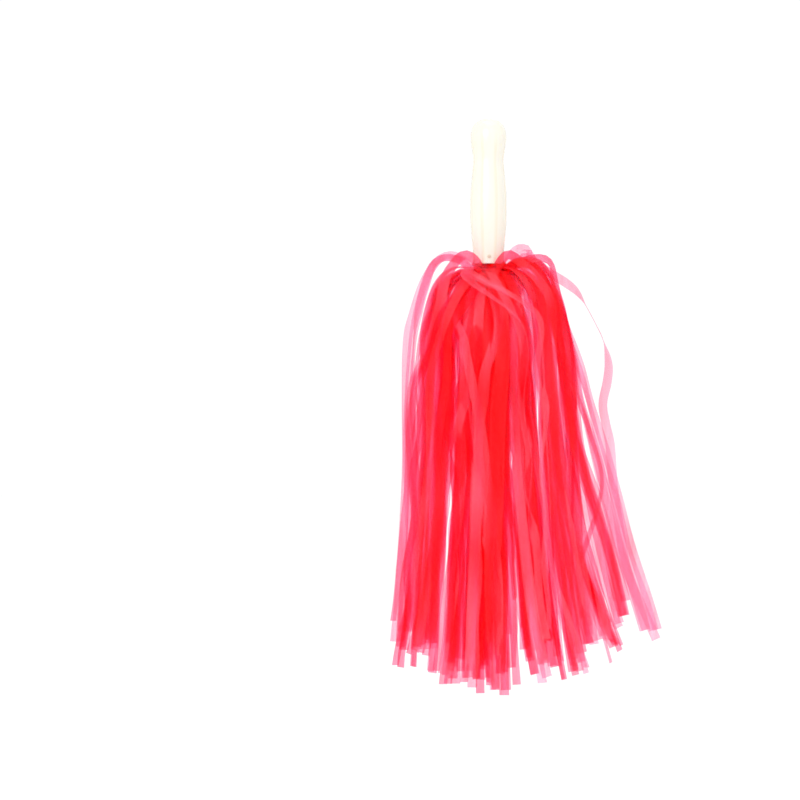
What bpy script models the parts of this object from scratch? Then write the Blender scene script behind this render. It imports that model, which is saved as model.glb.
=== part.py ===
"""A cheer pom pom: a hollow baton handle with a skirt of film streamers rooted in its mouth.

The origin is the middle of the grip, on the handle's axis. Z is up and the streamers hang
down. The skirt is made of locks: a ring of outer ones and a ring of inner ones, each of
which lifts about a hinge at its root, round a straight tassel in the middle. Metres.
"""

import math

import bmesh
import bpy
from mathutils import Vector

MM = 0.001
FIT_GAP = 0.3 * MM

# Handle: a domed knob, a waist, a belly and an open mouth.
DOME_TOP_Z = 51.3 * MM
KNOB_Z = 38.0 * MM
WAIST_Z = 21.0 * MM
BELLY_Z = -11.0 * MM
MOUTH_Z = -51.0 * MM
KNOB_RADIUS = 12.7 * MM
WAIST_RADIUS = 10.9 * MM
BELLY_RADIUS = 13.1 * MM
MOUTH_RADIUS = 10.8 * MM
HANDLE_WALL = 1.3 * MM
DOME_POWER = 2.4
BELLY_EASE = 0.65
MOUTH_EASE = 1.2
LATHE_STEPS = 48

# What holds the streamers in the mouth, from the middle outwards.
PLUG_TOP_Z = -20.0 * MM
PLUG_RADIUS = 3.8 * MM
PLUG_TIP_RADIUS = 2.6 * MM
HEADER_TOP_Z = -30.0 * MM
HEADER_WALLS = {
    "header_inner": 1.2 * MM,
    "header_middle": 1.0 * MM,
    "header_outer": 0.8 * MM,
}
HEADER_STEP = 2.0 * MM
TAPE_TOP_Z = -28.0 * MM
TAPE_BOTTOM_Z = -42.0 * MM
TAPE_WALL = 0.3 * MM
WIRE_Z = -35.0 * MM
WIRE_RADIUS = 0.3 * MM

# Nail through the front of the mouth.
NAIL_Z = -46.0 * MM
NAIL_RADIUS = 0.6 * MM
NAIL_HEAD_RADIUS = 1.2 * MM
NAIL_HEAD_THICK = 0.5 * MM
NAIL_REACH = 2.0 * MM

# Crown: the streamers' roots, which arch over at the two sides and hang at front and back.
CROWN_LIFT = 8.0 * MM
CROWN_RADIUS = 25.3 * MM
CROWN_THICK = 3.2 * MM
CROWN_CREST_RADIUS = 18.0 * MM
CROWN_FOOT_RADIUS = 16.0 * MM

# Locks
LOCKS = 12
SECTOR = 2 * math.pi / LOCKS
SIDE_GAP = 0.35 * MM
STREAMER_LENGTH = 305.0 * MM
FLARE_POWER = 2.4

OUTER_HINGE_RADIUS = 30.0 * MM
OUTER_HINGE_LOW_Z = -54.5 * MM
OUTER_HINGE_RISE = 4.5 * MM
OUTER_SHOULDER_OUT = 21.0 * MM
OUTER_SHOULDER_DOWN = 24.0 * MM
OUTER_HALF_THICK = 4.0 * MM
OUTER_MOST_HALF_WIDTH = 17.0 * MM
OUTER_ROOT_LENGTH = 20.0 * MM
OUTER_HANG_DROP = 250.0 * MM
OUTER_REACH = 66.0 * MM
OUTER_SIDE_REACH = 58.0 * MM
OUTER_SIDE_POWER = 2.2
OUTER_LIFT = math.radians(65)

INNER_HINGE_RADIUS = 12.0 * MM
INNER_HINGE_Z = -60.0 * MM
INNER_SHOULDER_OUT = 15.0 * MM
INNER_SHOULDER_DOWN = 22.0 * MM
INNER_HALF_THICK = 2.2 * MM
INNER_MOST_HALF_WIDTH = 12.0 * MM
INNER_ROOT_LENGTH = 8.0 * MM
INNER_HANG_DROP = 270.0 * MM
INNER_REACH = 36.0 * MM
INNER_SHARE = 0.4

TASSEL_TOP_Z = -55.2 * MM
TASSEL_TOP_RADIUS = 8.5 * MM
TASSEL_RADIUS = 14.0 * MM
TASSEL_BOTTOM_Z = -353.0 * MM

SHARP_ANGLE = math.radians(40)


def clear_scene():
    for obj in list(bpy.data.objects):
        bpy.data.objects.remove(obj)


def plain_material(name, color, roughness, metallic=0.0):
    material = bpy.data.materials.new(name)
    material.use_nodes = True
    shader = material.node_tree.nodes["Principled BSDF"]
    shader.inputs["Base Color"].default_value = (*color, 1.0)
    shader.inputs["Roughness"].default_value = roughness
    shader.inputs["Metallic"].default_value = metallic
    return material


def add_object(name, shape, material):
    """An object from a bmesh, its faces turned outwards and shaded smooth between sharp edges."""
    bmesh.ops.recalc_face_normals(shape, faces=shape.faces)
    mesh = bpy.data.meshes.new(name)
    shape.to_mesh(mesh)
    shape.free()
    mesh.shade_smooth()
    mesh.set_sharp_from_angle(angle=SHARP_ANGLE)
    mesh.materials.append(material)
    obj = bpy.data.objects.new(name, mesh)
    bpy.context.collection.objects.link(obj)
    return obj


def lathe(name, outline, material):
    """A closed outline of (radius, height) points turned about Z."""
    shape = bmesh.new()
    points = [shape.verts.new((radius, 0, height)) for radius, height in outline]
    edges = [shape.edges.new(pair) for pair in zip(points, points[1:] + points[:1])]
    bmesh.ops.spin(
        shape,
        geom=points + edges,
        cent=(0, 0, 0),
        axis=(0, 0, 1),
        angle=2 * math.pi,
        steps=LATHE_STEPS,
        use_merge=True,
    )
    bmesh.ops.remove_doubles(shape, verts=shape.verts, dist=0.001 * MM)
    return add_object(name, shape, material)


def tube(name, inner, outer, top, bottom, material):
    outline = [(inner, top), (outer, top), (outer, bottom), (inner, bottom)]
    return lathe(name, outline, material)


def loft(name, rings, material):
    """One closed body through rings of equal counts of points, capped at both ends."""
    shape = bmesh.new()
    rows = [[shape.verts.new(point) for point in ring] for ring in rings]
    for near, far in zip(rows, rows[1:]):
        for i in range(len(near)):
            j = (i + 1) % len(near)
            shape.faces.new((near[i], near[j], far[j], far[i]))
    shape.faces.new(rows[0])
    shape.faces.new(rows[-1])
    return add_object(name, shape, material)


def ease(t, power):
    """A smooth step from 0 to 1, pulled early by a power below 1 and late by one above it."""
    return (1 - math.cos(math.pi * t**power)) / 2


def handle_radius(z):
    """The outside radius of the handle below its dome."""
    stretches = [
        (KNOB_Z, KNOB_RADIUS, WAIST_Z, WAIST_RADIUS, 1.0),
        (WAIST_Z, WAIST_RADIUS, BELLY_Z, BELLY_RADIUS, BELLY_EASE),
        (BELLY_Z, BELLY_RADIUS, MOUTH_Z, MOUTH_RADIUS, MOUTH_EASE),
    ]
    for top, start, bottom, end, power in stretches:
        if z >= bottom:
            return start + (end - start) * ease((top - z) / (top - bottom), power)
    return MOUTH_RADIUS


def handle_side(inset):
    """The handle's side, inset from its outside, from the axis at the top to the mouth."""
    dome_steps, grip_steps = 10, 26
    side = []
    for i in range(dome_steps):
        turn = math.pi / 2 * (1 - i / dome_steps)
        out = math.cos(turn) ** (2 / DOME_POWER)
        up = math.sin(turn) ** (2 / DOME_POWER)
        radius = (KNOB_RADIUS - inset) * out
        height = KNOB_Z + (DOME_TOP_Z - KNOB_Z - inset) * up
        side.append((radius, height))
    side[0] = (0.0, DOME_TOP_Z - inset)
    for i in range(grip_steps + 1):
        z = KNOB_Z + (MOUTH_Z - KNOB_Z) * i / grip_steps
        side.append((handle_radius(z) - inset, z))
    return side


def add_nail_hole(target, cutter):
    hole = target.modifiers.new("nail_hole", "BOOLEAN")
    hole.operation = "DIFFERENCE"
    hole.object = cutter


def add_nail_cutter():
    """The clearance hole for the nail's shank, which the walls that it passes are cut with."""
    length = MOUTH_RADIUS + 3 * MM + NAIL_REACH
    shape = bmesh.new()
    bmesh.ops.create_cone(
        shape,
        cap_ends=True,
        segments=24,
        radius1=NAIL_RADIUS + FIT_GAP,
        radius2=NAIL_RADIUS + FIT_GAP,
        depth=length,
    )
    cutter = add_object("nail_cutter", shape, plain_material("cutter", (0.5, 0.5, 0.5), 0.5))
    cutter.location = (0, NAIL_REACH + FIT_GAP - length / 2, NAIL_Z)
    cutter.rotation_euler = (math.pi / 2, 0, 0)
    cutter.hide_render = True
    cutter.display_type = "WIRE"
    return cutter


def add_handle():
    plastic = plain_material("ivory_plastic", (0.98, 0.95, 0.84), 0.22)
    outside = handle_side(0.0)
    inside = handle_side(HANDLE_WALL)
    return lathe("handle", outside + inside[::-1], plastic)


def add_bindings():
    """The plug, the headers wound round it, the tape and the wire. Returns what the nail passes."""
    wood = plain_material("plug_wood", (0.62, 0.45, 0.27), 0.7)
    header = plain_material("header_film", (0.90, 0.05, 0.07), 0.35)
    tape = plain_material("binding_tape", (0.86, 0.84, 0.78), 0.6)
    steel = plain_material("tie_wire_steel", (0.55, 0.55, 0.56), 0.35, 1.0)
    plug_outline = [
        (0.0, PLUG_TOP_Z),
        (PLUG_TIP_RADIUS, PLUG_TOP_Z),
        (PLUG_RADIUS, HEADER_TOP_Z),
        (PLUG_RADIUS, MOUTH_Z),
        (0.0, MOUTH_Z),
    ]
    nailed = [lathe("core_plug", plug_outline, wood)]
    radius = PLUG_RADIUS
    top = HEADER_TOP_Z
    for name, wall in HEADER_WALLS.items():
        inner = radius + FIT_GAP
        radius = inner + wall
        nailed.append(tube(name, inner, radius, top, MOUTH_Z, header))
        top -= HEADER_STEP
    tape_inner = radius + FIT_GAP
    tape_outer = tape_inner + TAPE_WALL
    tube("binding_tape", tape_inner, tape_outer, TAPE_TOP_Z, TAPE_BOTTOM_Z, tape)
    add_ring("tie_wire", tape_outer + FIT_GAP + WIRE_RADIUS, WIRE_RADIUS, WIRE_Z, steel)
    return nailed


def add_ring(name, major, minor, z, material):
    """A round wire bent to a ring about Z."""
    sides = 10
    outline = []
    for i in range(sides):
        turn = 2 * math.pi * i / sides
        outline.append((major + minor * math.cos(turn), z + minor * math.sin(turn)))
    return lathe(name, outline, material)


def add_nail():
    """A flat-headed nail, driven in from the front, its head just clear of the wall."""
    steel = plain_material("nail_steel", (0.35, 0.33, 0.31), 0.4, 1.0)
    seat = handle_radius(NAIL_Z) + FIT_GAP
    outline = [
        (0.0, seat + NAIL_HEAD_THICK),
        (0.7 * NAIL_HEAD_RADIUS, seat + NAIL_HEAD_THICK),
        (NAIL_HEAD_RADIUS, seat + 0.5 * NAIL_HEAD_THICK),
        (NAIL_HEAD_RADIUS, seat),
        (NAIL_RADIUS, seat),
        (NAIL_RADIUS, -NAIL_REACH + 2 * NAIL_RADIUS),
        (0.0, -NAIL_REACH),
    ]
    nail = lathe("retaining_nail", outline, steel)
    nail.location = (0, 0, NAIL_Z)
    nail.rotation_euler = (math.pi / 2, 0, 0)
    return nail


def add_crown():
    """The dome of streamer roots below and round the mouth, high at the sides and low in front."""
    film = plain_material("crown_film", (0.95, 0.16, 0.24), 0.3)
    steps = 60
    low = MOUTH_Z - FIT_GAP
    rings = []
    for i in range(steps):
        turn = 2 * math.pi * i / steps
        lift = CROWN_LIFT * abs(math.cos(turn)) ** 1.5
        profile = [
            (MOUTH_RADIUS + 0.4 * MM, low),
            (MOUTH_RADIUS + 1.6 * MM, low + 0.5 * lift),
            (CROWN_CREST_RADIUS, low + lift),
            (CROWN_RADIUS - 1.0 * MM, low + 0.7 * lift),
            (CROWN_RADIUS, low - 1.2 * MM + 0.7 * lift),
            (CROWN_RADIUS - 2.0 * MM, low - CROWN_THICK + 0.6 * lift),
            (CROWN_FOOT_RADIUS, low - CROWN_THICK + 0.1 * lift),
        ]
        ring = [
            Vector((radius * math.cos(turn), radius * math.sin(turn), height))
            for radius, height in profile
        ]
        rings.append(ring)
    shape = bmesh.new()
    rows = [[shape.verts.new(point) for point in ring] for ring in rings]
    for i in range(steps):
        near, far = rows[i], rows[(i + 1) % steps]
        for j in range(len(near) - 1):
            shape.faces.new((near[j], far[j], far[j + 1], near[j + 1]))
    shape.faces.new([row[0] for row in rows])
    shape.faces.new([row[-1] for row in rows])
    return add_object("crown", shape, film)


def add_tassel():
    """The straight streamers in the middle."""
    film = plain_material("tassel_film", (0.88, 0.03, 0.06), 0.3)
    steps = 8
    outline = [(0.0, TASSEL_TOP_Z)]
    for i in range(steps + 1):
        t = i / steps
        radius = TASSEL_TOP_RADIUS + (TASSEL_RADIUS - TASSEL_TOP_RADIUS) * ease(t, 0.6)
        outline.append((radius, TASSEL_TOP_Z + (TASSEL_BOTTOM_Z - TASSEL_TOP_Z) * t))
    outline.append((0.0, TASSEL_BOTTOM_Z))
    return lathe("core_tassel", outline, film)


def lock_spine(shoulder_out, shoulder_down, reach, hang_drop, length):
    """Points (out, up) from the hinge along the middle of a lock, over its shoulder and down."""
    arc_steps, hang_steps = 6, 11
    spine = []
    for i in range(arc_steps + 1):
        turn = math.pi / 2 * i / arc_steps
        out = shoulder_out * math.sin(turn)
        up = shoulder_down * (math.cos(turn) - 1)
        spine.append(Vector((out, up)))
    used = sum((b - a).length for a, b in zip(spine, spine[1:]))
    fine = (length - used) / 400
    out, up = spine[-1]
    walked = 0.0
    marks = [(length - used) * (i + 1) / hang_steps for i in range(hang_steps)]
    shoulder = Vector((out, up))
    while marks:
        nearer = shoulder.y - up + fine
        next_out = shoulder.x + (reach - shoulder.x) * (nearer / hang_drop) ** FLARE_POWER
        stretch = math.hypot(next_out - out, fine)
        out = next_out
        up -= fine
        walked += stretch
        if walked >= marks[0] - fine / 2:
            spine.append(Vector((out, up)))
            marks.pop(0)
    return spine


def least_radius(offset, hinge_radius, lift):
    """The nearest that a point of a lock comes to the handle's axis as the lock lifts."""
    steps = 13
    radii = []
    for i in range(steps + 1):
        turn = lift * i / steps
        radii.append(hinge_radius + offset.x * math.cos(turn) - offset.y * math.sin(turn))
    return min(radii)


def add_lock(name, turn, hinge_radius, hinge_z, spine, half_thick, most_half_width, lift, material):
    """A curved slab that hangs from a round knuckle on its hinge and keeps to its own sector."""
    stations = []
    for degrees in (75, 50, 25):
        back = math.radians(degrees)
        centre = Vector((-half_thick * math.sin(back), 0.0))
        stations.append((centre, Vector((0.0, 1.0)), half_thick * math.cos(back)))
    for i, centre in enumerate(spine):
        before = spine[max(i - 1, 0)]
        after = spine[min(i + 1, len(spine) - 1)]
        along = (after - before).normalized() if i else Vector((1.0, 0.0))
        stations.append((centre, Vector((-along.y, along.x)), half_thick))
    rings = []
    for centre, normal, half in stations:
        edges = (centre + normal * half, centre - normal * half)
        least = min(least_radius(edge, hinge_radius, lift) for edge in edges)
        width = min(least * math.tan(SECTOR / 2) - SIDE_GAP, most_half_width)
        section = [
            (width, 0.35),
            (0.85 * width, 1.0),
            (-0.85 * width, 1.0),
            (-width, 0.35),
            (-width, -0.35),
            (-0.85 * width, -1.0),
            (0.85 * width, -1.0),
            (width, -0.35),
        ]
        ring = []
        for across, share in section:
            point = centre + normal * (half * share)
            ring.append((point.x, across, point.y))
        rings.append(ring)
    lock = loft(name, rings, material)
    lock.location = (hinge_radius * math.cos(turn), hinge_radius * math.sin(turn), hinge_z)
    lock.rotation_euler = (0, 0, turn)
    return lock


def add_outer_locks():
    film = plain_material("outer_film", (0.93, 0.05, 0.10), 0.3)
    for k in range(LOCKS):
        turn = k * SECTOR
        side = max(math.cos(turn), 0.0) ** OUTER_SIDE_POWER
        reach = OUTER_REACH + OUTER_SIDE_REACH * side - OUTER_HINGE_RADIUS
        hinge_z = OUTER_HINGE_LOW_Z + OUTER_HINGE_RISE * math.cos(turn) ** 2
        spine = lock_spine(
            OUTER_SHOULDER_OUT,
            OUTER_SHOULDER_DOWN,
            reach,
            OUTER_HANG_DROP,
            STREAMER_LENGTH - OUTER_ROOT_LENGTH,
        )
        add_lock(
            f"outer_lock_{k + 1:02d}",
            turn,
            OUTER_HINGE_RADIUS,
            hinge_z,
            spine,
            OUTER_HALF_THICK,
            OUTER_MOST_HALF_WIDTH,
            OUTER_LIFT,
            film,
        )


def add_inner_locks():
    film = plain_material("inner_film", (0.90, 0.03, 0.05), 0.3)
    spine = lock_spine(
        INNER_SHOULDER_OUT,
        INNER_SHOULDER_DOWN,
        INNER_REACH - INNER_HINGE_RADIUS,
        INNER_HANG_DROP,
        STREAMER_LENGTH - INNER_ROOT_LENGTH,
    )
    for k in range(LOCKS):
        add_lock(
            f"inner_lock_{k + 1:02d}",
            k * SECTOR,
            INNER_HINGE_RADIUS,
            INNER_HINGE_Z,
            spine,
            INNER_HALF_THICK,
            INNER_MOST_HALF_WIDTH,
            OUTER_LIFT * INNER_SHARE,
            film,
        )


def main():
    clear_scene()
    cutter = add_nail_cutter()
    for nailed in [add_handle(), *add_bindings()]:
        add_nail_hole(nailed, cutter)
    add_nail()
    add_crown()
    add_tassel()
    add_outer_locks()
    add_inner_locks()


main()
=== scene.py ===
"""The looks of the cheer pom pom: a fluted ivory handle and nearly two hundred film streamers.

Each streamer is a thin closed strip that leaves the mouth of the handle, bends over its
rim and hangs. The strips of one lock are one mesh. Metres, with Z up and -Y the front.
"""

import math

import bmesh
import bpy
import numpy as np
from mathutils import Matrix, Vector


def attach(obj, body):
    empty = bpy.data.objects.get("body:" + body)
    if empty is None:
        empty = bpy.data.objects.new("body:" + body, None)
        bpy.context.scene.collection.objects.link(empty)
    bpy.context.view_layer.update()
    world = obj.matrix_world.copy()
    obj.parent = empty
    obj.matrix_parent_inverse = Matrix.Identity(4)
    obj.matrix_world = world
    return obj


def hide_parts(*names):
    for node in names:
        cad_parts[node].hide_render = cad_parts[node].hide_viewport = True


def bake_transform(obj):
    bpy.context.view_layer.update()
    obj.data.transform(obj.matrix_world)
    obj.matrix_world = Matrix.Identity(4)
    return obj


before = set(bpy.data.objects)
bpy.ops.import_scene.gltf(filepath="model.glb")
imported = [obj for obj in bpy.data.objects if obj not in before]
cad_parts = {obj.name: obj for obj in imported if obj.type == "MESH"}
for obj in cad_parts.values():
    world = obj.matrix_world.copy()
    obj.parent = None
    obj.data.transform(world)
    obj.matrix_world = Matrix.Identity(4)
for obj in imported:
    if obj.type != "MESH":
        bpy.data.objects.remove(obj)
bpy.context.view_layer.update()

MM = 0.001

# Handle, as in the CAD model
DOME_TOP_Z = 51.3 * MM
KNOB_Z = 38.0 * MM
WAIST_Z = 21.0 * MM
BELLY_Z = -11.0 * MM
MOUTH_Z = -51.0 * MM
KNOB_RADIUS = 12.7 * MM
WAIST_RADIUS = 10.9 * MM
BELLY_RADIUS = 13.1 * MM
MOUTH_RADIUS = 10.8 * MM
HANDLE_WALL = 1.3 * MM
DOME_POWER = 2.4

# Handle, finer than in the CAD model
TURN_STEPS = 128
LIP = 0.45 * MM
LIP_CORNER = 0.13 * MM
RIBS = 8
FLUTE_DEPTH = 0.22 * MM
SEAM_HEIGHT = 0.08 * MM
SEAM_WIDTH = 0.03
# The colour of the painted shade in bands at the handle's ribs.
RIB_SHADE_COLOR = (0.965, 0.945, 0.89)

# Streamers
LOCKS = 12
SECTOR = 2 * math.pi / LOCKS
STREAMER_WIDTH = 6.6 * MM
STREAMER_LENGTH = 299.0 * MM
FILM_THICK = 0.12 * MM
FILM_CUP = 0.25 * MM
ROOT_DIP = 6.5 * MM
FINE_STEP = 3.4 * MM
FINE_LENGTH = 85.0 * MM
COARSE_STEP = 7.0 * MM
OUTER_CLUMPS = 3
OUTER_PER_CLUMP = 3
INNER_CLUMPS = 2
INNER_PER_CLUMP = 2
TASSEL_CLUMPS = 4
TASSEL_PER_CLUMP = 2
SEED = 64

# Film: the colour of its haze, and what one of a strip's two surfaces lets through. Paler haze is partly
# a strip's own tone and partly painted sheen.
DEEP_FILM = (1.0, 0.006, 0.006)
MIDDLE_FILM = (1.0, 0.055, 0.062)
PALE_FILM = (1.0, 0.26, 0.34)
DEEP_TINT = (1.0, 0.72, 0.86)
PALE_TINT = (1.0, 0.90, 0.99)
LEAST_HAZE = 0.16
MOST_HAZE = 0.29
TRANSLUCENT_SHARE = 0.4

# Strips that stand out from the rest: the lock, how many lie together, how far they spread
# in mm, their shade, and the path as (x, y, z) in mm with the roll there in radians.
FEATURES = [
    # The one far out on the right, which turns edge on before it hangs.
    (
        1, 1, 0.0, 0.85,
        [
            (8, -1, -51, 0.6), (12, -2, -54.5, 0.6), (18, -3, -51, 0.6), (30, -5, -50, 0.5),
            (45.5, -6, -59, 0.3), (55, -6, -65, 0.3), (62, -6, -71, 0.8), (68, -6, -80, 1.44),
            (75, -6, -93, 1.46), (80.5, -6, -105, 1.46), (84, -6, -121, 0.5), (83, -6, -134, 0.2),
            (80, -6, -149, 0.3), (82, -6, -163, 0.3), (85, -7, -178, 0.1), (87, -8, -205, 0.1),
            (91, -10, -235, 0.1), (97, -10, -267, 0.2), (108, -10, -293, 0.3), (117, -10, -314, 0.2),
        ],
    ),
    # A curl that stands up beside the handle, then falls behind the shoulder.
    (
        1, 1, 0.0, 1.0,
        [
            (7, 1, -51, 0.1), (11.5, 1, -54, 0.1), (14.5, 0, -48.5, 0.2), (17, -1, -43.5, 0.3),
            (20.5, -1, -40, 0.5), (25, 0, -38.8, 0.8), (28.5, 3, -41, 0.8), (29.5, 6, -47, 0.6),
            (34, 7, -56, 0.5), (44, 6, -72, 0.4), (50, 5, -95, 0.7), (53, 4, -130, 0.5),
            (57, 2, -175, 0.3), (65, 0, -225, 0.4), (76, -2, -275, 0.2), (84, -3, -315, 0.1),
        ],
    ),
    # A small loop under the curl.
    (
        1, 1, 0.0, 0.9,
        [
            (8, -3, -51, 0.2), (12, -4, -54.5, 0.2), (19, -5, -50, 0.3), (24, -5, -44.5, 0.5),
            (28.5, -4, -43, 0.7), (31, -3, -46, 0.8), (28, -2, -49.5, 0.6), (24, -1, -48.5, 0.5),
            (24, 0, -45.5, 0.7), (29, 1, -45, 0.9), (37, 1, -52, 0.9), (45, 0, -68, 0.7),
            (50, -1, -95, 0.4), (52, -2, -130, 0.9), (54, -3, -180, 0.4), (60, -4, -230, 0.2),
            (66, -5, -275, 0.3), (70, -5, -305, 0.2),
        ],
    ),
    # Flat arches beyond the loop.
    (
        1, 2, 2.5, 0.8,
        [
            (8, -4, -51, 0.2), (13, -5, -54.5, 0.2), (21, -7, -51, 0.4), (30, -8, -47.5, 0.5),
            (39, -8, -47.5, 0.6), (44, -8, -52, 0.9), (45.5, -8, -61, 0.6), (49, -8, -80, 0.2),
            (56, -8, -110, 0.4), (60, -8, -150, 0.9), (66, -8, -200, 0.3), (76, -8, -250, 0.2),
            (88, -8, -298, 0.1), (91, -8, -306, 0.1),
        ],
    ),
    # The thick band on the right.
    (
        1, 4, 3.2, 0.45,
        [
            (8, -4, -51, 0.0), (13, -6, -54.5, 0.2), (22, -8, -50, 0.4), (34, -10, -56, 0.4),
            (43, -12, -75, 0.3), (48, -12, -100, 0.2), (52, -12, -130, 0.2), (57, -12, -165, 0.1),
            (67, -12, -200, 0.1), (77, -12, -230, 0.1), (86, -12, -262, 0.0), (94, -12, -297, 0.0),
        ],
    ),
    # Pale ones that fan out beyond the band.
    (
        1, 4, 7.0, 1.0,
        [
            (8, 3, -51, 0.0), (12, 4, -54.5, 0.3), (24, 6, -48, 0.6), (40, 7, -56, 0.9),
            (51, 6, -85, 1.2), (60, 4, -120, 0.6), (66, 3, -150, 0.9), (75, 2, -185, 0.5),
            (82, 0, -215, 0.2), (91, -3, -250, 0.3), (102, -6, -285, 0.1), (109, -6, -308, 0.0),
        ],
    ),
    # Ragged pale ones close to the body on the right.
    (
        1, 4, 6.0, 1.0,
        [
            (8, -2, -51, 0.0), (12, -2, -54.5, 0.2), (22, -3, -49, 0.5), (35, -5, -50, 0.8),
            (45, -5, -62, 1.0), (52, -5, -85, 0.6), (55, -5, -110, 1.0), (58, -5, -140, 0.5),
            (60, -5, -175, 0.9), (60, -5, -210, 0.4), (64, -5, -250, 0.2), (70, -5, -290, 0.1),
            (74, -5, -318, 0.0),
        ],
    ),
    # One that swings back across the gap on the right.
    (
        12, 1, 0.0, 0.3,
        [
            (8, -5, -51, 0.0), (12, -8, -54.5, 0.2), (20, -12, -51, 0.3), (34, -18, -58, 0.5),
            (45, -20, -90, 0.8), (56, -20, -130, 0.9), (70, -20, -170, 1.0), (78, -20, -200, 1.1),
            (75, -20, -222, 1.0), (67, -20, -247, 0.9), (61, -20, -265, 1.0), (60, -20, -290, 0.9),
            (65, -20, -322, 0.6),
        ],
    ),
    # Two that cross over the right of the mouth.
    (
        11, 2, 3.0, 0.7,
        [
            (3, -8, -51.5, 0.0), (5, -12, -54.5, 0.0), (8.5, -15.5, -49, 0.1), (13, -17, -45, 0.2),
            (18.5, -18, -48, 0.1), (27.5, -20, -56, 0.0), (36, -22, -66, 0.1), (42, -23, -80, 0.3),
            (43, -25, -110, 0.0), (44, -27, -150, 0.2), (47, -29, -200, 0.0), (52, -32, -260, 0.0),
            (57, -34, -325, 0.0),
        ],
    ),
    # The one down the middle of the front.
    (
        10, 2, 3.0, 0.85,
        [
            (2, -8, -51, 0.0), (3.5, -11.5, -54, 0.0), (4, -17, -56, 0.0), (1.5, -23, -66, 0.1),
            (4.5, -28, -84, 0.0), (5.5, -31, -99, -0.2), (1, -33, -114, -0.3), (-5, -35, -132, 0.1),
            (-8, -37, -170, 0.0), (-10, -40, -230, 0.0), (-12, -44, -290, 0.0), (-13, -46, -343, 0.0),
        ],
    ),
    # Two that cross over the left of the mouth and swing far out.
    (
        9, 2, 3.0, 0.75,
        [
            (-3, -8, -51.5, 0.0), (-6, -12, -54.5, 0.0), (-10, -14.5, -49, 0.2), (-15, -16, -45.5, 0.3),
            (-20, -17, -46.5, 0.3), (-25, -18, -52, 0.2), (-31, -19, -62, 0.1), (-35, -21, -82, 0.0),
            (-44, -21, -115, 0.3), (-54, -19, -135, 0.9), (-57, -18, -165, 1.0), (-55, -18, -200, 0.9),
            (-55, -19, -240, 0.4), (-60, -20, -285, 0.1), (-62, -20, -318, 0.0),
        ],
    ),
    # Pale arches over the left shoulder.
    (
        7, 1, 0.0, 1.0,
        [
            (-8, -3, -51, 0.2), (-12, -4, -54, 0.3), (-17, -5, -49, 0.6), (-26, -6, -44.5, 0.8),
            (-36, -6, -49, 0.6), (-46, -6, -65, 0.4), (-53.5, -6, -88, 0.3), (-57, -6, -104, 0.3),
            (-59, -6, -144, 0.9), (-58, -6, -192, 0.5), (-60, -6, -240, 0.3), (-63, -6, -285, 0.2),
            (-66, -6, -316, 0.1),
        ],
    ),
    (
        7, 2, 4.0, 1.0,
        [
            (-8, 2, -51, 0.2), (-12, 2, -54.5, 0.3), (-19, 2, -48.5, 0.6), (-30, 2, -46, 0.8),
            (-39, 2, -51, 0.7), (-45, 1, -66, 0.5), (-50, 0, -84, 0.6), (-54, 0, -104, 0.9),
            (-56, 0, -140, 0.6), (-57, 0, -186, 0.3), (-55, 0, -240, 0.2), (-53, 0, -285, 0.1),
            (-49, 0, -322, 0.1),
        ],
    ),
]

# How a noise is stretched for grain that runs along Z
UPRIGHT_GRAIN = (1, 1, 0.1)

# Studio
SKY_STRENGTH = 1.04
FLOOR_Z = -0.47
FLOOR_REACH = 6.0
LIGHT_POWER = 7.0
CAMERA_PLACE = (-0.0623, -1.565, -0.1465)
LENS = 100
SENSOR_WIDTH = 36

# Light has to pass many layers of film.
FILM_LAYERS = 160
DIFFUSE_BOUNCES = 12
MOST_BOUNCES = 24


# ---------------------------------------------------------------- materials


def new_material(name):
    material = bpy.data.materials.new(name)
    material.use_nodes = True
    nodes = material.node_tree.nodes
    shader = nodes["Principled BSDF"]
    return material, nodes, material.node_tree.links, shader


def noise_of(nodes, links, scale, detail, stretch=(1.0, 1.0, 1.0)):
    """A noise texture over stretched coordinates, and its Fac socket."""
    where = nodes.new("ShaderNodeTexCoord")
    mapping = nodes.new("ShaderNodeMapping")
    mapping.inputs["Scale"].default_value = stretch
    noise = nodes.new("ShaderNodeTexNoise")
    noise.inputs["Scale"].default_value = scale
    noise.inputs["Detail"].default_value = detail
    links.new(where.outputs["Object"], mapping.inputs["Vector"])
    links.new(mapping.outputs["Vector"], noise.inputs["Vector"])
    return noise.outputs["Fac"]


def ramp_of(nodes, links, value, stops):
    ramp = nodes.new("ShaderNodeValToRGB")
    while len(ramp.color_ramp.elements) < len(stops):
        ramp.color_ramp.elements.new(0.5)
    for element, (position, color) in zip(ramp.color_ramp.elements, stops):
        element.position = position
        element.color = (*color, 1.0)
    links.new(value, ramp.inputs["Fac"])
    return ramp.outputs["Color"]


def bump_into(nodes, links, shader, height, strength, distance):
    bump = nodes.new("ShaderNodeBump")
    bump.inputs["Strength"].default_value = strength
    bump.inputs["Distance"].default_value = distance
    links.new(height, bump.inputs["Height"])
    links.new(bump.outputs["Normal"], shader.inputs["Normal"])


def strip_shade(nodes):
    """The random number from 0 to 1 that each strip carries: how pale its haze is, partly its own tone
    and partly painted sheen.
    """
    shade = nodes.new("ShaderNodeAttribute")
    shade.attribute_name = "shade"
    return shade.outputs["Fac"]


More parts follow.
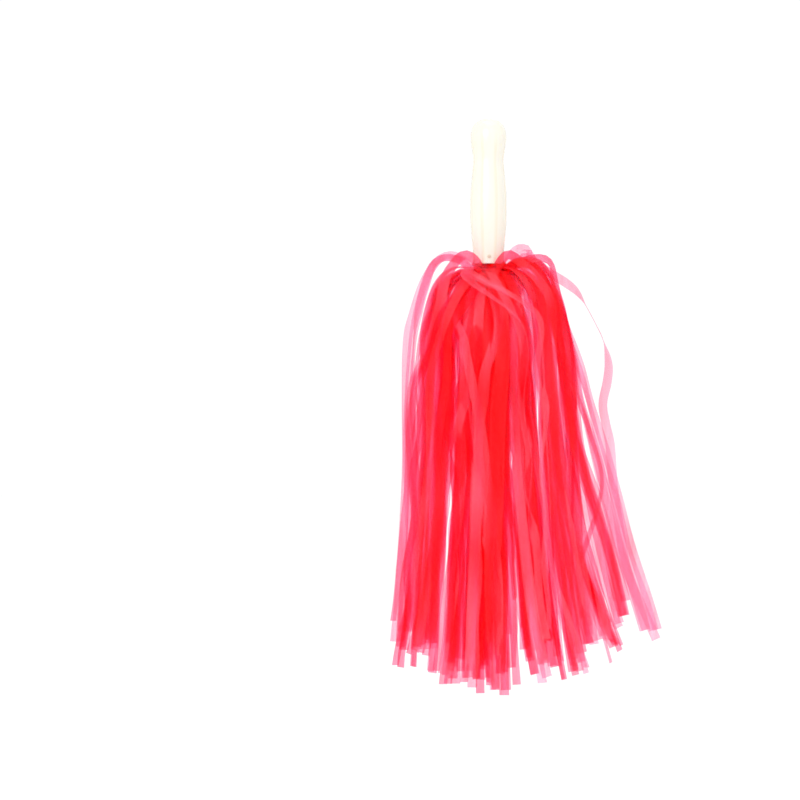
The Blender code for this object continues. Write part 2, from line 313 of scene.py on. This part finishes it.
def film_material(name):
    """See-through dyed film: it tints what shows through it, and its own haze and gloss lie on top."""
    material, nodes, links, shader = new_material(name)
    streaks = noise_of(nodes, links, 240.0, 2.0, (1.0, 1.0, 0.04))
    # Painted sheen: patches where the haze is paler, and deeper between them, for light caught where
    # strips fold.
    sheen_patches = noise_of(nodes, links, 38.0, 1.0, (1.0, 1.0, 0.4))
    sheen_shift = nodes.new("ShaderNodeMath")
    sheen_shift.operation = "MULTIPLY_ADD"
    sheen_shift.inputs[1].default_value = 1.1
    sheen_shift.inputs[2].default_value = -0.55
    shade = nodes.new("ShaderNodeMath")
    shade.operation = "ADD"
    shade.use_clamp = True
    links.new(sheen_patches, sheen_shift.inputs[0])
    links.new(sheen_shift.outputs["Value"], shade.inputs[0])
    links.new(strip_shade(nodes), shade.inputs[1])
    dyes = [(0.0, DEEP_FILM), (0.55, MIDDLE_FILM), (1.0, PALE_FILM)]
    dye = ramp_of(nodes, links, shade.outputs["Value"], dyes)
    links.new(dye, shader.inputs["Base Color"])
    shader.inputs["Roughness"].default_value = 0.3
    shader.inputs["Specular IOR Level"].default_value = 0.3
    bump_into(nodes, links, shader, streaks, 0.3, 0.0006)
    through = nodes.new("ShaderNodeBsdfTranslucent")
    links.new(dye, through.inputs["Color"])
    haze = nodes.new("ShaderNodeMixShader")
    haze.inputs["Fac"].default_value = TRANSLUCENT_SHARE
    links.new(shader.outputs["BSDF"], haze.inputs[1])
    links.new(through.outputs["BSDF"], haze.inputs[2])
    clear = nodes.new("ShaderNodeBsdfTransparent")
    tint = ramp_of(nodes, links, shade.outputs["Value"], [(0.0, DEEP_TINT), (1.0, PALE_TINT)])
    links.new(tint, clear.inputs["Color"])
    share = nodes.new("ShaderNodeMapRange")
    share.inputs["From Min"].default_value = 0.3
    share.inputs["From Max"].default_value = 0.7
    share.inputs["To Min"].default_value = LEAST_HAZE
    share.inputs["To Max"].default_value = MOST_HAZE
    links.new(streaks, share.inputs["Value"])
    mix = nodes.new("ShaderNodeMixShader")
    links.new(share.outputs["Result"], mix.inputs["Fac"])
    links.new(clear.outputs["BSDF"], mix.inputs[1])
    links.new(haze.outputs["Shader"], mix.inputs[2])
    links.new(mix.outputs["Shader"], nodes["Material Output"].inputs["Surface"])
    return material


def ivory_material():
    """Glossy ivory plastic, with painted shade in darker bands at its eight ribs, up to the dome."""
    material, nodes, links, shader = new_material("ivory_plastic")
    mottle = noise_of(nodes, links, 45.0, 3.0, (1.0, 1.0, 0.25))
    color = ramp_of(nodes, links, mottle, [(0.3, (0.88, 0.82, 0.68)), (0.7, (0.91, 0.86, 0.74))])
    where = nodes.new("ShaderNodeTexCoord")
    around = nodes.new("ShaderNodeTexGradient")
    around.gradient_type = "RADIAL"
    links.new(where.outputs["Object"], around.inputs["Vector"])
    ribs = nodes.new("ShaderNodeMath")
    ribs.operation = "MULTIPLY_ADD"
    ribs.inputs[1].default_value = RIBS * 2 * math.pi
    ribs.inputs[2].default_value = math.pi
    links.new(around.outputs["Fac"], ribs.inputs[0])
    wavy = nodes.new("ShaderNodeMath")
    wavy.operation = "COSINE"
    links.new(ribs.outputs["Value"], wavy.inputs[0])
    # Painted shade: darker bands at the ribs, below the dome.
    rib_shade = ramp_of(nodes, links, wavy.outputs["Value"], [(0.55, (1.0, 1.0, 1.0)), (0.95, RIB_SHADE_COLOR)])
    with_rib_shade = nodes.new("ShaderNodeMix")
    with_rib_shade.data_type = "RGBA"
    with_rib_shade.blend_type = "MULTIPLY"
    height = nodes.new("ShaderNodeSeparateXYZ")
    links.new(where.outputs["Object"], height.inputs["Vector"])
    below_dome = nodes.new("ShaderNodeMapRange")
    below_dome.inputs["From Min"].default_value = KNOB_Z + 4 * MM
    below_dome.inputs["From Max"].default_value = KNOB_Z - 8 * MM
    links.new(height.outputs["Z"], below_dome.inputs["Value"])
    links.new(below_dome.outputs["Result"], with_rib_shade.inputs["Factor"])
    links.new(color, with_rib_shade.inputs["A"])
    links.new(rib_shade, with_rib_shade.inputs["B"])
    links.new(with_rib_shade.outputs["Result"], shader.inputs["Base Color"])
    shader.inputs["Roughness"].default_value = 0.24
    shader.inputs["Subsurface Weight"].default_value = 0.35
    shader.inputs["Subsurface Radius"].default_value = (1.0, 0.85, 0.6)
    shader.inputs["Subsurface Scale"].default_value = 0.004
    shader.inputs["Coat Weight"].default_value = 0.3
    shader.inputs["Coat Roughness"].default_value = 0.12
    grain = noise_of(nodes, links, 900.0, 2.0)
    bump_into(nodes, links, shader, grain, 0.05, 0.0001)
    return material


def plain_material(name, dark, light, roughness, metallic, scale, stretch=(1.0, 1.0, 1.0)):
    """A surface whose colour wanders between two near shades, with a fine grain."""
    material, nodes, links, shader = new_material(name)
    wander = noise_of(nodes, links, scale, 4.0, stretch)
    color = ramp_of(nodes, links, wander, [(0.3, dark), (0.7, light)])
    links.new(color, shader.inputs["Base Color"])
    shader.inputs["Roughness"].default_value = roughness
    shader.inputs["Metallic"].default_value = metallic
    bump_into(nodes, links, shader, wander, 0.2, 0.0002)
    return material


# ---------------------------------------------------------------- handle


def ease(t, power):
    return (1 - math.cos(math.pi * t**power)) / 2


def handle_radius(z):
    stretches = [
        (KNOB_Z, KNOB_RADIUS, WAIST_Z, WAIST_RADIUS, 1.0),
        (WAIST_Z, WAIST_RADIUS, BELLY_Z, BELLY_RADIUS, 0.65),
        (BELLY_Z, BELLY_RADIUS, MOUTH_Z, MOUTH_RADIUS, 1.2),
    ]
    for top, start, bottom, end, power in stretches:
        if z >= bottom:
            return start + (end - start) * ease((top - z) / (top - bottom), power)
    return MOUTH_RADIUS


def dome_point(turn, inset):
    out = max(math.cos(turn), 0.0) ** (2 / DOME_POWER)
    up = math.sin(turn) ** (2 / DOME_POWER)
    return (KNOB_RADIUS - inset) * out, KNOB_Z + (DOME_TOP_Z - KNOB_Z - inset) * up


def handle_side(inset, dome_steps, grip_steps):
    side = [dome_point(math.pi / 2 * (1 - i / dome_steps), inset) for i in range(1, dome_steps)]
    for i in range(grip_steps + 1):
        z = KNOB_Z + (MOUTH_Z - KNOB_Z) * i / grip_steps
        side.append((handle_radius(z) - inset, z))
    return side


def flute_depth(turn, z):
    """How far the outside dips at this turn and height: soft flats between eight low ribs."""
    fade_top = min(max((KNOB_Z + 6 * MM - z) / (10 * MM), 0.0), 1.0)
    fade_foot = min(max((z - MOUTH_Z - 2 * MM) / (8 * MM), 0.0), 1.0)
    rib = abs(math.sin(RIBS / 2 * turn)) ** 6
    return FLUTE_DEPTH * (1 - rib) * fade_top * fade_foot


def seam_height(turn):
    """The mould's parting line, a hair proud at the two sides."""
    off = min(abs(math.sin(turn)), 1.0)
    return SEAM_HEIGHT * max(1 - off / SEAM_WIDTH, 0.0)


def build_handle(material):
    outside = handle_side(0.0, 16, 76)
    inside = handle_side(HANDLE_WALL, 10, 30)
    outside[-1] = (outside[-1][0], MOUTH_Z + LIP)
    rim = [
        (MOUTH_RADIUS - LIP_CORNER, MOUTH_Z + LIP_CORNER),
        (MOUTH_RADIUS - LIP, MOUTH_Z),
        (MOUTH_RADIUS - HANDLE_WALL + LIP, MOUTH_Z),
        (MOUTH_RADIUS - HANDLE_WALL + LIP_CORNER, MOUTH_Z + LIP_CORNER),
    ]
    inside[-1] = (inside[-1][0], MOUTH_Z + LIP)
    outline = outside + rim + inside[::-1]
    fluted = len(outside)
    shape = bmesh.new()
    rows = []
    for radius, z in outline:
        row = []
        shaped = len(rows) < fluted and z < DOME_TOP_Z - 1 * MM
        for i in range(TURN_STEPS):
            turn = 2 * math.pi * i / TURN_STEPS
            dip = flute_depth(turn, z) - seam_height(turn) if shaped else 0.0
            reach = radius - dip * min(1.0, radius / KNOB_RADIUS)
            row.append(shape.verts.new((reach * math.cos(turn), reach * math.sin(turn), z)))
        rows.append(row)
    for near, far in zip(rows, rows[1:]):
        for i in range(TURN_STEPS):
            j = (i + 1) % TURN_STEPS
            shape.faces.new((near[i], near[j], far[j], far[i]))
    for row, height in ((rows[0], DOME_TOP_Z), (rows[-1], DOME_TOP_Z - HANDLE_WALL)):
        pole = shape.verts.new((0, 0, height))
        for i in range(TURN_STEPS):
            shape.faces.new((row[i], row[(i + 1) % TURN_STEPS], pole))
    return finished("handle_shell", shape, material, 45)


def finished(name, shape, material, sharp_degrees):
    bmesh.ops.recalc_face_normals(shape, faces=shape.faces)
    mesh = bpy.data.meshes.new(name)
    shape.to_mesh(mesh)
    shape.free()
    mesh.shade_smooth()
    mesh.set_sharp_from_angle(angle=math.radians(sharp_degrees))
    mesh.materials.append(material)
    obj = bpy.data.objects.new(name, mesh)
    bpy.context.scene.collection.objects.link(obj)
    return obj


# ---------------------------------------------------------------- streamers


def unit(v):
    return v / np.maximum(np.linalg.norm(v, axis=-1, keepdims=True), 1e-12)


def smooth(t):
    t = np.clip(t, 0.0, 1.0)
    return t * t * (3 - 2 * t)


def length_steps(length):
    """Distances along a strip, close together where it bends over the rim."""
    fine = np.arange(0.0, FINE_LENGTH, FINE_STEP)
    count = max(int(round((length - FINE_LENGTH) / COARSE_STEP)), 2)
    return np.concatenate([fine, np.linspace(FINE_LENGTH, length, count + 1)])


def fall(s, start, launch, relax, flare):
    """Radius and height along a strip that dips under the rim, launches and bends to hang."""
    bent = np.exp(-(np.maximum(s - ROOT_DIP, 0) / relax) ** 1.25)
    angle = launch * smooth(s / ROOT_DIP) * bent
    angle = angle + flare
    middle = (angle[1:] + angle[:-1]) / 2
    step = np.diff(s)
    radius = start[0] + np.concatenate([[0.0], np.cumsum(np.sin(middle) * step)])
    height = start[1] - np.concatenate([[0.0], np.cumsum(np.cos(middle) * step)])
    return radius, height


def relax_for(shoulder, start, launch):
    """The bending length that brings a strip launched at this angle to its shoulder radius."""
    s = np.arange(0.0, 0.2, 0.002)
    low, high = 2 * MM, 90 * MM
    for _ in range(24):
        middle = (low + high) / 2
        radius, _height = fall(s, start, launch, middle, np.zeros_like(s))
        if radius[-1] < shoulder:
            low = middle
        else:
            high = middle
    return (low + high) / 2


class Strips:
    """The strips of one lock, gathered into one mesh."""

    def __init__(self):
        self.points = []
        self.faces = []
        self.shade = []

    def add(self, path, width_direction, half_width, shade):
        """One strip along path, flat across width_direction, slightly cupped and square at both ends."""
        path = np.asarray(path, float)
        tangent = unit(np.gradient(path, axis=0))
        side = unit(width_direction - (width_direction * tangent).sum(1, keepdims=True) * tangent)
        face = np.cross(tangent, side)
        base = sum(len(p) for p in self.points)
        rows = []
        for sign in (1, -1):
            for at in (-1.0, 0.0, 1.0):
                rise = FILM_CUP * (1 - at * at) + sign * FILM_THICK / 2
                rows.append(path + side * (at * half_width) + face * rise)
        # Order round the section: top left, middle, right, then bottom right, middle, left.
        section = [rows[0], rows[1], rows[2], rows[5], rows[4], rows[3]]
        ring = np.stack(section, axis=1)
        count = len(path)
        self.points.append(ring.reshape(-1, 3))
        self.shade.append(np.full(count * 6, shade))
        for i in range(count - 1):
            for j in range(6):
                k = (j + 1) % 6
                a = base + i * 6
                self.faces.append((a + j, a + k, a + 6 + k, a + 6 + j))
        last = base + (count - 1) * 6
        self.faces.append((base, base + 5, base + 4, base + 1))
        self.faces.append((base + 1, base + 4, base + 3, base + 2))
        self.faces.append((last + 1, last + 4, last + 5, last))
        self.faces.append((last + 2, last + 3, last + 4, last + 1))

    def build(self, name, material):
        mesh = bpy.data.meshes.new(name)
        points = np.concatenate(self.points)
        mesh.from_pydata(points.tolist(), [], self.faces)
        mesh.update()
        shade = mesh.attributes.new("shade", "FLOAT", "POINT")
        shade.data.foreach_set("value", np.concatenate(self.shade).astype(np.float32))
        mesh.shade_smooth()
        mesh.set_sharp_from_angle(angle=math.radians(50))
        mesh.materials.append(material)
        shape = bmesh.new()
        shape.from_mesh(mesh)
        bmesh.ops.recalc_face_normals(shape, faces=shape.faces)
        shape.to_mesh(mesh)
        shape.free()
        obj = bpy.data.objects.new(name, mesh)
        bpy.context.scene.collection.objects.link(obj)
        return obj


def end_reach(turn):
    """How far from the axis the outermost strips end, by direction: far out on the +X side."""
    side = max(math.cos(turn), 0.0)
    return (64 + 50 * side**2.2) * MM


def wave(rng, s, height, length):
    """A sideways wave that starts beyond the bend and calms down towards the end."""
    phase = rng.uniform(0, 2 * math.pi)
    calm = 1 - 0.6 * smooth(s / STREAMER_LENGTH)
    return height * smooth((s - 20 * MM) / (60 * MM)) * calm * np.sin(2 * math.pi * s / length + phase)


def hang_strip(strips, rng, turn, launch, shoulder, end, swing, drift, length, root, facing, shade):
    """Adds a strip that hangs, from its direction, its launch and where it passes and ends.

    swing turns it about the axis on its arch, and drift as it hangs. facing is how far its
    flat side turns to the front once it hangs, from 0 to 1.
    """
    s = length_steps(length)
    start = (root, MOUTH_Z + 0.3 * MM)
    relax = relax_for(shoulder, start, launch)
    outward = max(end - shoulder, -10 * MM)
    flare = 2.4 * outward / length * (s / length) ** 1.4
    radius, height = fall(s, start, launch, relax, flare)
    share = s / length
    radius = radius + wave(rng, s, rng.normal(0, 1.3) * MM, rng.uniform(60, 140) * MM)
    sway = wave(rng, s, rng.normal(0, 2.2) * MM, rng.uniform(60, 140) * MM)
    turn_at = turn + swing * smooth((s - 8 * MM) / (60 * MM)) + drift * smooth(share * 1.2)
    out = np.stack([np.cos(turn_at), np.sin(turn_at), np.zeros_like(s)], axis=1)
    along = np.stack([-np.sin(turn_at), np.cos(turn_at), np.zeros_like(s)], axis=1)
    path = out * radius[:, None] + along * sway[:, None]
    path[:, 2] = height
    tangent = unit(np.gradient(path, axis=0))
    side = unit(np.cross(np.cross(tangent, along), tangent))
    face = np.cross(tangent, side)
    to_front = (turn + math.pi / 2 + math.pi / 2) % math.pi - math.pi / 2
    roll = facing * to_front * smooth((s - 4 * MM) / (50 * MM))
    roll = roll + rng.normal(0, 0.3) * smooth((s - 15 * MM) / (60 * MM))
    roll = roll + wave(rng, s, rng.normal(0, 0.3), rng.uniform(80, 200) * MM)
    if rng.random() < 0.25:
        roll = roll + math.pi * some_sign(rng) * smooth((s - rng.uniform(30, 200) * MM) / (45 * MM))
    across = side * np.cos(roll)[:, None] + face * np.sin(roll)[:, None]
    half = STREAMER_WIDTH / 2 * rng.uniform(0.93, 1.07)
    strips.add(path, across, half, shade)


def curve_through(points, step):
    """A smooth curve (Catmull-Rom) through given points, stepped evenly in its first three columns."""
    points = np.asarray(points, float)
    ends = np.vstack([2 * points[0] - points[1], points, 2 * points[-1] - points[-2]])
    t = np.linspace(0, 1, 24, endpoint=False)[:, None]
    runs = []
    for a, b, c, d in zip(ends, ends[1:], ends[2:], ends[3:]):
        square, cube = 2 * a - 5 * b + 4 * c - d, 3 * b - a - 3 * c + d
        runs.append(0.5 * (2 * b + (c - a) * t + square * t**2 + cube * t**3))
    dense = np.vstack(runs + [points[-1:]])
    steps = np.linalg.norm(np.diff(dense[:, :3], axis=0), axis=1)
    walked = np.concatenate([[0], np.cumsum(steps)])
    marks = np.linspace(0, walked[-1], max(int(walked[-1] / step), 4))
    return np.stack([np.interp(marks, walked, column) for column in dense.T], axis=1)


def laid_strip(strips, points, shade, spread, rng):
    """Adds a strip along given points with rolls. At a roll of 0 its flat side faces the front."""
    rows = np.array(points, float) * [MM, MM, MM, 1.0]
    curve = curve_through(rows, FINE_STEP)
    share = np.linspace(0, 1, len(curve))
    shift = rng.normal(0, 1, 3) * [spread * MM, spread * MM, 0.0]
    path = curve[:, :3] + shift * smooth(share * 1.5 - 0.04)[:, None]
    loose = min(spread / 5.0, 1.4)
    walked = share * STREAMER_LENGTH
    path[:, 0] += wave(rng, walked, loose * rng.normal(0, 1.4) * MM, rng.uniform(45, 90) * MM)
    roll = curve[:, 3] + rng.normal(0, 0.12) * smooth(share * 4) * min(spread, 1.0)
    roll = roll + wave(rng, walked, loose * rng.normal(0, 0.5), rng.uniform(70, 140) * MM)
    tangent = unit(np.gradient(path, axis=0))
    front = np.tile([0.0, -1.0, 0.0], (len(path), 1))
    side = unit(np.cross(tangent, front))
    face = np.cross(side, tangent)
    across = side * np.cos(roll)[:, None] + face * np.sin(roll)[:, None]
    kept = len(path) - int(rng.uniform(0, 1) * min(spread, 1.0) * 4)
    strips.add(path[:kept], across[:kept], STREAMER_WIDTH / 2, shade)


def sidedness(turn):
    """0 within 15 degrees of the very front, rising to 1 at 50 degrees from it."""
    off = abs((math.degrees(turn) - 270 + 180) % 360 - 180)
    return float(smooth((off - 15) / 35))


def some_sign(rng):
    return -1.0 if rng.random() < 0.5 else 1.0


def outer_lock(rng, k):
    """Clumps of strips that arch out of the mouth and hang as the outer skirt."""
    strips = Strips()
    for _ in range(OUTER_CLUMPS):
        turn = k * SECTOR + rng.uniform(-0.5, 0.5) * SECTOR
        rank = rng.uniform(0.0, 1.0)
        sided = sidedness(turn)
        launch = math.radians((1 - sided) * rng.uniform(55, 80) + sided * rng.uniform(70, 112))
        shoulder = (25 + 4 * sided + 22 * rank) * MM
        if rng.random() < 0.15:
            shoulder = rng.uniform(50, 57) * MM
        end = shoulder + (end_reach(turn) - shoulder) * rng.uniform(0.05, 1.0)
        swing = rng.normal(0, 0.5)
        drift = rng.normal(0, 0.5 if rng.random() < 0.35 else 0.18)
        loose = rng.uniform(0.3, 1.4)
        length = STREAMER_LENGTH + rng.normal(-11, 11) * MM
        facing = rng.uniform(0.25, 1.0)
        for _ in range(OUTER_PER_CLUMP):
            hang_strip(
                strips,
                rng,
                turn + loose * rng.normal(0, 0.08),
                launch * rng.uniform(0.88, 1.12),
                shoulder + loose * rng.normal(0, 2.0) * MM,
                end + loose * rng.normal(0, 4) * MM,
                swing + loose * rng.normal(0, 0.08),
                drift + loose * rng.normal(0, 0.05),
                min(length + rng.normal(0, 7) * MM, 1.02 * STREAMER_LENGTH),
                rng.uniform(5.0, 8.8) * MM,
                facing + rng.normal(0, 0.1),
                rng.uniform(0.0, 1.1),
            )
    return strips


def inner_lock(rng, k):
    """Clumps of strips that hang inside the outer skirt."""
    strips = Strips()
    for _ in range(INNER_CLUMPS):
        turn = k * SECTOR + rng.uniform(-0.5, 0.5) * SECTOR
        rank = rng.uniform(0.0, 1.0)
        launch = math.radians(rng.uniform(30, 75))
        shoulder = (13 + 17 * rank) * MM
        end = shoulder + rng.uniform(0, 22) * MM * (1 + 0.6 * max(math.cos(turn), 0))
        drift = rng.normal(0, 0.3)
        length = STREAMER_LENGTH + rng.normal(-12, 11) * MM
        facing = rng.uniform(0.2, 1.0)
        for _ in range(INNER_PER_CLUMP):
            hang_strip(
                strips,
                rng,
                turn + rng.normal(0, 0.08),
                launch,
                shoulder + rng.normal(0, 1.5) * MM,
                end + rng.normal(0, 3) * MM,
                0.0,
                drift + rng.normal(0, 0.06),
                min(length + rng.normal(0, 3.5) * MM, STREAMER_LENGTH),
                rng.uniform(3.0, 7.0) * MM,
                facing,
                # Inner strips keep to deep haze: painted shade for the inside of the skirt.
                rng.uniform(0.0, 0.45),
            )
    return strips


def tassel(rng):
    """Strips that hang almost straight down the middle."""
    strips = Strips()
    for _ in range(TASSEL_CLUMPS):
        turn = rng.uniform(0, 2 * math.pi)
        shoulder = rng.uniform(4, 14) * MM
        length = STREAMER_LENGTH + rng.normal(-5, 9) * MM
        for _ in range(TASSEL_PER_CLUMP):
            hang_strip(
                strips,
                rng,
                turn + rng.normal(0, 0.3),
                math.radians(rng.uniform(5, 25)),
                shoulder,
                shoulder + rng.uniform(-2, 8) * MM,
                0.0,
                rng.normal(0, 0.4),
                min(length + rng.normal(0, 3.5) * MM, STREAMER_LENGTH),
                rng.uniform(1.0, 3.5) * MM,
                rng.uniform(0, 1),
                # The middle strips keep to deep haze: painted shade for the inside of the skirt.
                rng.uniform(0.0, 0.3),
            )
    return strips


def feature_strips(strips, rng, k):
    for lock, count, spread, shade, points in FEATURES:
        if lock != k + 1:
            continue
        for i in range(count):
            laid_strip(strips, points, shade * (1 - 0.2 * i / count), spread * min(i, 1), rng)


def join_on(piece):
    """Bakes the piece's placement into its mesh."""
    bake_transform(piece)


def build_skirt():
    film = film_material("film")
    rng = np.random.default_rng(SEED)
    for k in range(LOCKS):
        number = f"{k + 1:02d}"
        strips = outer_lock(rng, k)
        feature_strips(strips, rng, k)
        piece = strips.build(f"outer_streamers_{number}", film)
        join_on(piece)
        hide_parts(f"outer_lock_{number}")
    for k in range(LOCKS):
        number = f"{k + 1:02d}"
        strips = inner_lock(rng, k)
        piece = strips.build(f"inner_streamers_{number}", film)
        join_on(piece)
        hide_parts(f"inner_lock_{number}")
    strips = tassel(rng)
    piece = strips.build("tassel_streamers", film)
    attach(piece, "handle")
    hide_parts("core_tassel", "crown")


# ---------------------------------------------------------------- stage


def area_light(name, place, aim, size):
    data = bpy.data.lights.new(name, "AREA")
    data.shape = "DISK"
    data.size = size
    data.energy = LIGHT_POWER
    light = bpy.data.objects.new(name, data)
    light.location = place
    light.rotation_euler = (Vector(aim) - Vector(place)).to_track_quat("-Z", "Y").to_euler()
    bpy.context.scene.collection.objects.link(light)


def build_stage():
    mesh = bpy.data.meshes.new("floor")
    sides = [(-1, -1), (1, -1), (1, 1), (-1, 1)]
    corners = [(x * FLOOR_REACH, y * FLOOR_REACH, FLOOR_Z) for x, y in sides]
    mesh.from_pydata(corners, [], [(0, 1, 2, 3)])
    floor = bpy.data.objects.new("floor", mesh)
    bpy.context.scene.collection.objects.link(floor)
    paper = plain_material("floor_paper", (0.96, 0.96, 0.96), (0.975, 0.975, 0.975), 0.8, 0.0, 3.0)
    mesh.materials.append(paper)
    world = bpy.data.worlds.new("studio")
    world.use_nodes = True
    sky = world.node_tree.nodes["Background"]
    sky.inputs["Color"].default_value = (1.0, 1.0, 1.0, 1.0)
    sky.inputs["Strength"].default_value = SKY_STRENGTH
    bpy.context.scene.world = world
    area_light("key", (-0.5, -1.6, 0.5), (0, 0, -0.15), 0.9)
    area_light("top", (0.0, 0.0, 2.2), (0, 0, 0), 2.0)


def build_camera():
    data = bpy.data.cameras.new("camera")
    data.lens = LENS
    data.sensor_width = SENSOR_WIDTH
    camera = bpy.data.objects.new("camera", data)
    camera.location = CAMERA_PLACE
    camera.rotation_euler = (math.pi / 2, 0, 0)
    bpy.context.scene.collection.objects.link(camera)
    scene = bpy.context.scene
    scene.camera = camera
    scene.view_settings.view_transform = "Standard"
    scene.cycles.transparent_max_bounces = FILM_LAYERS
    scene.cycles.diffuse_bounces = DIFFUSE_BOUNCES
    scene.cycles.max_bounces = MOST_BOUNCES
    scene.cycles.transmission_bounces = MOST_BOUNCES


def dress_cad_nodes():
    """Materials for the CAD nodes that are shown as they are."""
    nail = plain_material("dull_nail", (0.62, 0.50, 0.38), (0.80, 0.68, 0.54), 0.55, 0.2, 500.0)
    steel = plain_material("steel", (0.33, 0.31, 0.29), (0.5, 0.48, 0.46), 0.38, 1.0, 400.0)
    wood = plain_material(
        "dowel_wood", (0.50, 0.34, 0.18), (0.70, 0.52, 0.32), 0.7, 0.0, 120.0, UPRIGHT_GRAIN
    )
    tape = plain_material("cloth_tape", (0.80, 0.78, 0.70), (0.90, 0.88, 0.82), 0.75, 0.0, 500.0)
    header = plain_material(
        "header_film", (0.80, 0.02, 0.03), (0.95, 0.04, 0.06), 0.35, 0.0, 200.0, UPRIGHT_GRAIN
    )
    chosen = {
        "retaining_nail": nail,
        "tie_wire": steel,
        "core_plug": wood,
        "binding_tape": tape,
        "header_inner": header,
        "header_middle": header,
        "header_outer": header,
    }
    for name, material in chosen.items():
        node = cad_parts[name]
        node.data.materials.clear()
        node.data.materials.append(material)


handle = build_handle(ivory_material())
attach(handle, "handle")
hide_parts("handle")
dress_cad_nodes()
build_skirt()
build_stage()
build_camera()
